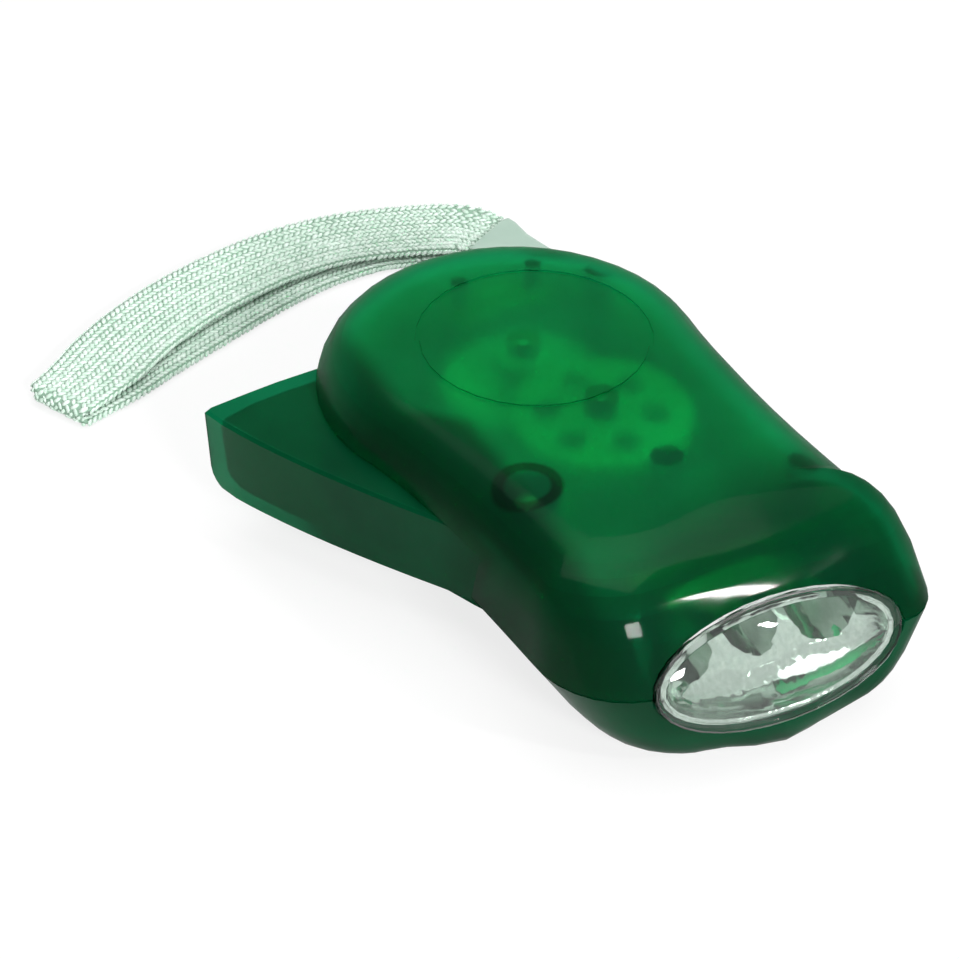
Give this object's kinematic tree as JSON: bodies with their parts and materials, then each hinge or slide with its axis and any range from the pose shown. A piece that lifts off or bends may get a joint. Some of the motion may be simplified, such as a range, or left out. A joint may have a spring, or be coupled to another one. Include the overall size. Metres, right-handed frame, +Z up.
{
  "type": "squeeze lever dynamo torch",
  "caption": "Translucent green hand torch with a squeeze lever on one side, a gear train and flywheel dynamo inside, three lamps behind an oval lens, and a folded wrist strap",
  "frame": {"origin": "on the floor the torch lies on, under the middle of the body, in line with the lens", "axes": "x forward to the lens, y away from the lever, z up"},
  "size_m": [0.1576, 0.1017, 0.032],
  "materials": {
    "green_shell": "translucent green, polished outside",
    "green_lever": "deep translucent green",
    "white_nylon": "moulded nylon",
    "steel": "turned steel",
    "iron": "plated iron",
    "ferrite": "dull dark ferrite",
    "black_plastic": "black moulded plastic",
    "copper": "enamelled copper wire",
    "clear": "clear moulded plastic",
    "silvered": "vacuum silvered plastic",
    "board": "green circuit board",
    "cell_wrap": "dark shrink wrap",
    "red_wire": "insulated wire",
    "webbing": "pale grey-green braid",
    "pale_plastic": "smooth pale plastic"
  },
  "bodies": {
    "housing": {"upper_shell": "green_shell", "lower_shell": "green_shell", "pivot_pin": "steel", "lever_spring": "steel", "step_axle": "steel", "rotor_axle": "steel", "stator_lower": "iron", "stator_upper": "iron", "coil_bobbin": "black_plastic", "stator_coil": "copper", "lens": "clear", "reflector": "silvered", "lamp_left": "clear", "lamp_middle": "clear", "lamp_right": "clear", "lamp_board": "board", "charge_board": "board", "charge_cell": "cell_wrap", "screw_middle": "steel", "screw_rear": "steel", "screw_front": "steel", "lamp_wire": "red_wire", "lamp_return_wire": "black_plastic", "coil_wire": "copper", "strap": "webbing", "ferrule": "pale_plastic", "cord": "webbing"},
    "lever": {"squeeze_lever": "green_lever", "sector_gear": "white_nylon"},
    "gear": {"step_pinion": "white_nylon", "step_wheel": "white_nylon"},
    "rotor": {"rotor_pinion": "white_nylon", "flywheel": "iron", "ring_magnet": "ferrite"}
  },
  "joints": [
    {"name": "lever_squeeze", "type": "hinge", "parent": "housing", "child": "lever", "pos_m": [0.016, -0.0235, 0.016], "axis": [0, 0, -1], "range_deg": [0, 22], "stiffness_Nm_per_rad": 0.4, "springref_deg": -20, "deforming": ["lever_spring"]},
    {"name": "gear_spin", "type": "hinge", "parent": "housing", "child": "gear", "pos_m": [-0.00039, -0.00252, 0.02], "axis": [0, 0, -1], "range_deg": [-109, 0]},
    {"name": "rotor_spin", "type": "hinge", "parent": "housing", "child": "rotor", "pos_m": [-0.01845, -0.00652, 0.018], "axis": [0, 0, -1], "range_deg": [0, 337]}
  ],
  "couplings": [
    {"joint": "gear_spin", "follows": "lever_squeeze", "ratio": -4.9167},
    {"joint": "rotor_spin", "follows": "lever_squeeze", "ratio": 15.296}
  ]
}
